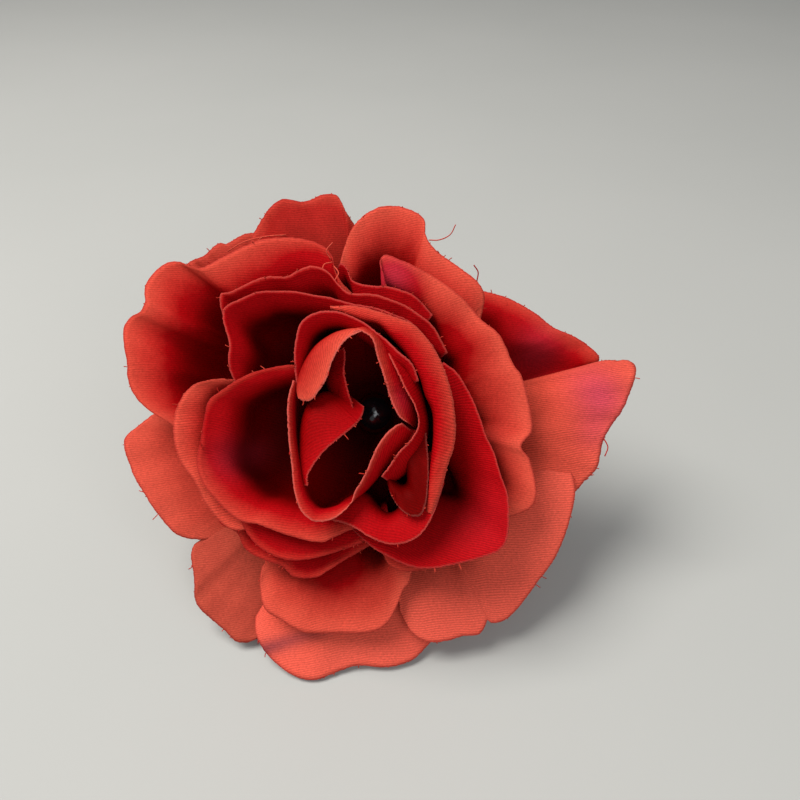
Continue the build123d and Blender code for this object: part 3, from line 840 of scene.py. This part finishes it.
def layer_2():
    """The petals that close in on the bud: a long swirl round its right side, and three shorter ones."""
    hub = layer_hub(2, 5.0)
    swirl = [
        (-8, 20.2, 42.3), (-5, 20.3, 42.6), (-1.3, 19.8, 43), (5.3, 17.6, 43.3), (7.9, 16.5, 43.4),
        (10.1, 14.3, 43.4), (12.3, 11.2, 43.4), (13.9, 7.5, 43.4), (15.2, 3.1, 43.3), (15.8, -1, 43.2),
        (15.9, -4.3, 43), (15.5, -7, 43), (14.5, -9.8, 42.8), (13.6, -13.5, 42.5), (12.5, -16.6, 42.3),
        (11.5, -19.5, 42),
    ]
    swirl_crest = [
        (-8, 19.9, 42.3), (-5, 19.1, 42.9), (-2, 18.0, 43.3), (1.6, 17.1, 43.7), (4.2, 14.7, 43.9),
        (6.6, 12.1, 43.9), (8.6, 9.2, 43.9), (9.9, 6.6, 43.9), (10.9, 3.5, 43.8), (12.1, 0.7, 43.7),
        (12.4, -3.5, 43.5), (11.9, -8.7, 43.2), (11.2, -13.1, 42.8), (10.8, -16.6, 42.4),
        (10.5, -19, 42.0),
    ]
    low = [
        (13.5, -9, 40), (13.8, -13, 41), (12.4, -17.5, 42), (10.6, -21.5, 42), (8.4, -24, 42),
        (4.4, -25.2, 42), (0.4, -24.2, 42), (-2, -22.8, 41.8), (-4.5, -21.6, 41), (-8, -21, 39),
    ]
    back = [
        (-14.5, 4, 41), (-14.8, 9.1, 42.4), (-14.6, 12.9, 43), (-13.5, 16.9, 43.2), (-11.4, 18.6, 43.3),
        (-6.3, 19.0, 43.3), (-1.5, 16.9, 43.4), (2.5, 13.8, 43.5), (5.3, 11.2, 43.5), (7.7, 9.2, 43),
        (9, 6, 42),
    ]
    lens = [
        (2.6, -11, 38.5), (3.3, -15, 41), (5.2, -18.2, 42), (7.4, -19.7, 42.6), (9.2, -19.5, 42.8),
        (10.2, -17.4, 42.8), (10.7, -13.7, 42.4), (10.8, -9.5, 41.5), (10.4, -4, 40.5),
    ]
    # The lens's dimming value and negative tint are painted shade.
    petals = [
        petal(hub, swirl, crest=swirl_crest, foot=(0.95, 0.1), ruffle=0.1, swell=0.1, tint=0.6, edge=0.2,
              rib=1.0),
        petal(hub, low, lip=7, up=-3.2, foot=(0.9, 0.1), ruffle=0.2, swell=0.2, tint=0.15, edge=0.5),
        petal(hub, back, lip=2.5, up=-2.4, foot=(0.92, 0.06), ruffle=0.15, swell=0.15, tint=0.1, edge=0.5),
        petal(hub, lens, lip=7, up=-2.4, foot=(0.85, 0.1), ruffle=0.1, swell=0.1, tint=-0.3, edge=0.4,
              shade_dim=0.42),
    ]
    rosette("petals_2", "petal_layer_2", inner_cloth, petals)


def bud_layer():
    """The bud round the dark throat: six folded petals, each given by its rim and its belly."""
    hub = layer_hub(1, 4.2)
    # The tongue bends in over the throat, so its free edge is on its right.
    tongue = [
        (-13.9, 2.6, 42.8), (-13.1, 2.1, 43.2), (-11.4, 2.2, 43.8), (-9.9, 3.9, 44.5), (-8.4, 6.2, 44.9),
        (-7.2, 9.7, 45.1), (-5.4, 12.7, 45.2), (-3.7, 14.3, 45.2), (-1.9, 15.1, 45.1),
    ]
    tongue_crest = [
        (-14.1, 2.9, 42.4), (-14.2, 4, 42.6), (-13.8, 6, 43), (-12.9, 8.4, 43.4), (-11.4, 10.9, 43.7),
        (-9.6, 12.9, 43.8), (-7, 14.6, 43.9), (-4.6, 15.4, 44.1), (-2.2, 15.7, 44.4),
    ]
    arm = [
        (-3.6, 14.8, 45), (-2.4, 15.2, 45.1), (-1.2, 14.8, 45.1), (0.1, 13.6, 45), (0.9, 11, 44.8),
        (2, 7.7, 44.5), (3.1, 4, 44), (4.2, 0.9, 43.5), (5.5, -1.2, 43), (6.6, -1.8, 42.4),
    ]
    arm_belly = [
        (-3, 15.6, 44), (-1.7, 16, 43.7), (0.2, 15.2, 43.2), (2.2, 13.2, 42.5), (4.2, 10.4, 41.5),
        (5.8, 7.2, 40.8), (7.1, 4.2, 40), (8.1, 1, 39.5), (8.4, -1.6, 39), (8.2, -3, 38.5),
    ]
    leaf = [
        (-6, 12, 42), (-5.3, 12, 42.4), (-5.1, 10.5, 42.6), (-5.3, 8.8, 42.6), (-4.9, 5.3, 42),
        (-3.9, 1.8, 41), (-3.4, -0.6, 40),
    ]
    leaf_belly = [
        (-8.6, 11, 38), (-8.9, 9.5, 38), (-9, 8, 38), (-8.9, 6, 38), (-8.3, 3.6, 37.5), (-7.2, 1.2, 37),
        (-6, -0.8, 36),
    ]
    # The bowl's left part rolls outward, and from its lowest point it leans in over the throat.
    bowl = [
        (-15, 6, 42.5), (-15.8, 2.3, 43.5), (-15.6, -4.5, 44), (-15, -9.8, 44), (-14.4, -15.2, 44),
        (-13.1, -18.7, 44), (-10.7, -20.5, 44), (-7.8, -20.3, 44), (-5.6, -19, 44), (-3.8, -17, 44),
        (-3, -14.8, 44.2), (-1.7, -12.6, 44.3), (-0.4, -10, 44.3), (0.9, -6.9, 44), (2.5, -4.5, 43.5),
        (4.4, -2.7, 42.8), (5.7, -2.1, 42),
    ]
    bowl_crest = [
        (-14.4, 5.8, 41), (-15, 2, 42.2), (-14.8, -4.5, 42.8), (-14, -9.8, 43), (-13.1, -14.4, 43.1),
        (-11.8, -17.2, 43.1), (-10, -18.8, 43), (-7.8, -18.6, 42.8), (-5.4, -17.6, 42.5),
        (-3, -16.4, 42.2), (-1, -14.4, 41.8), (0.7, -12.4, 41.4), (2.3, -10.4, 41), (4, -8.6, 40.5),
        (5.8, -7, 40), (7.3, -5.6, 39.5), (8.4, -4.2, 39),
    ]
    fold = [
        (-12.1, -14, 42.5), (-12.1, -12, 43), (-10.9, -10, 43.3), (-9.1, -7.6, 43.5), (-7, -5.7, 43.5),
        (-4.3, -3.5, 43), (-2.7, -2.0, 42.2), (-1.9, -0.6, 41), (-1.6, 1.0, 39.5),
    ]
    fold_belly = [
        (-13.4, -14, 41), (-13.8, -10, 41), (-13.7, -6, 41), (-13.2, -2, 41), (-11.8, 1.5, 41),
        (-9.6, 3.4, 40.2), (-7, 3.6, 38.8), (-4.4, 3.2, 37),
    ]
    ring = [
        (2.5, 12.2, 42.5), (3.6, 10.1, 43), (5.3, 6.6, 43.4), (6.6, 4, 43.5), (8.2, 0.9, 43.6),
        (8.9, -2.1, 43.6), (8.2, -4.1, 43.6), (6.6, -6.2, 43.5), (5.3, -7.4, 43.5), (3.1, -10.6, 43.2),
        (1.8, -12.2, 42.6),
    ]
    ring_belly = [
        (4.6, 12.6, 39), (6.4, 10.6, 39), (8.2, 7.4, 39), (9.4, 4.2, 39), (10.2, 0.9, 39),
        (10.6, -2.4, 39), (10.2, -5.4, 39), (9, -8.2, 39), (7.4, -10.6, 39), (5.2, -12.6, 39),
        (3.4, -13.6, 39),
    ]
    bud = {"foot": (0.95, 0.45), "ruffle": 0.08, "swell": 0.08, "spread": 0.9}
    # The dimming values and negative tint below are painted shade, and the rosy patch on the arm painted
    # sheen.
    petals = [
        petal(hub, tongue, crest=tongue_crest, **bud, tint=0.95, edge=0.9),
        petal(hub, arm, crest=arm_belly, **bud, tint=0.6, edge=0.6, sheen_patches=[(5, 2, 3, 0.15)]),
        petal(hub, leaf, crest=leaf_belly, **bud, tint=-0.3, edge=0.3, shade_dim=0.9),
        petal(hub, bowl, crest=bowl_crest, **bud, tint=0.45, edge=0.7),
        petal(hub, fold, crest=fold_belly, **bud, tint=0.3, edge=0.4, shade_dim=0.9),
        petal(hub, ring, crest=ring_belly, **bud, tint=0.35, edge=0.5, shade_dim=0.98),
    ]
    rosette("petals_1_bud", "petal_layer_1_bud", inner_cloth, petals)


def winding_spring():
    """The spring, as a copy of its CAD part put in its place: one leg stays on the plate, one on the lever.
    """
    spring = bpy.data.objects.new("winding_spring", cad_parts["clip_spring"].data.copy())
    bpy.context.collection.objects.link(spring)
    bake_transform(spring)
    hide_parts("clip_spring")


outer_layer()
layer_5()
layer_4()
layer_3()
layer_2()
bud_layer()
finish_frame_parts()
winding_spring()


# ---- floor, light and camera, with sizes and places in metres ------------------------------------
FLOOR_HALF_WIDTH = 3.0
KEY_PLACE = (-0.42, -0.02, 0.86)
KEY_SIZE = 0.6
KEY_POWER = 12.5
WARM_WHITE = (1.0, 0.985, 0.96)
FILL_PLACE = (0.30, -0.70, 0.55)
FILL_SIZE = 0.9
FILL_POWER = 4.0
COOL_WHITE = (0.93, 0.96, 1.0)
SKY_COLOUR = rgb(0.90, 0.93, 0.95)
SKY_STRENGTH = 0.34
CAMERA_LENS = 33.0
CAMERA_LOOKS_DOWN = radians(40.0)
CAMERA_FROM_FELT = np.array([5.35, -137.0, 119.85]) * MM


def plain_floor():
    mesh = bpy.data.meshes.new("floor")
    half = FLOOR_HALF_WIDTH
    corners = [(-half, -half, 0), (half, -half, 0), (half, half, 0), (-half, half, 0)]
    mesh.from_pydata(corners, [], [(0, 1, 2, 3)])
    floor = bpy.data.objects.new("floor", mesh)
    bpy.context.collection.objects.link(floor)
    n = Nodes("pale_floor")
    cloudy = n.noise(n.add("ShaderNodeTexCoord", 3), 6.0)
    colour = n.mix(cloudy, rgb(0.35, 0.35, 0.33), rgb(0.39, 0.385, 0.365))
    mesh.materials.append(n.finish(n.principled(Base_Color=colour, Roughness=0.85)))


def area_light(name, place, target, size, power, colour):
    data = bpy.data.lights.new(name, "AREA")
    data.shape = "DISK"
    data.size = size
    data.energy = power
    data.color = colour
    light = bpy.data.objects.new(name, data)
    light.location = place
    light.rotation_euler = (target - Vector(place)).to_track_quat("-Z", "Y").to_euler()
    bpy.context.collection.objects.link(light)


def pale_sky():
    world = bpy.data.worlds.new("studio")
    world.use_nodes = True
    background = world.node_tree.nodes["Background"]
    background.inputs["Color"].default_value = SKY_COLOUR
    background.inputs["Strength"].default_value = SKY_STRENGTH
    bpy.context.scene.world = world


def photo_camera():
    data = bpy.data.cameras.new("camera")
    data.lens = CAMERA_LENS
    camera = bpy.data.objects.new("camera", data)
    camera.location = ORIGIN * MM + CAMERA_FROM_FELT
    camera.rotation_euler = (pi / 2 - CAMERA_LOOKS_DOWN, 0, 0)
    bpy.context.collection.objects.link(camera)
    bpy.context.scene.camera = camera


plain_floor()
middle = (Vector(cad_box[0]) + Vector(cad_box[1])) / 2
area_light("key", KEY_PLACE, middle, KEY_SIZE, KEY_POWER, WARM_WHITE)
area_light("fill", FILL_PLACE, middle, FILL_SIZE, FILL_POWER, COOL_WHITE)
pale_sky()
photo_camera()
bpy.context.scene.view_settings.view_transform = "Standard"
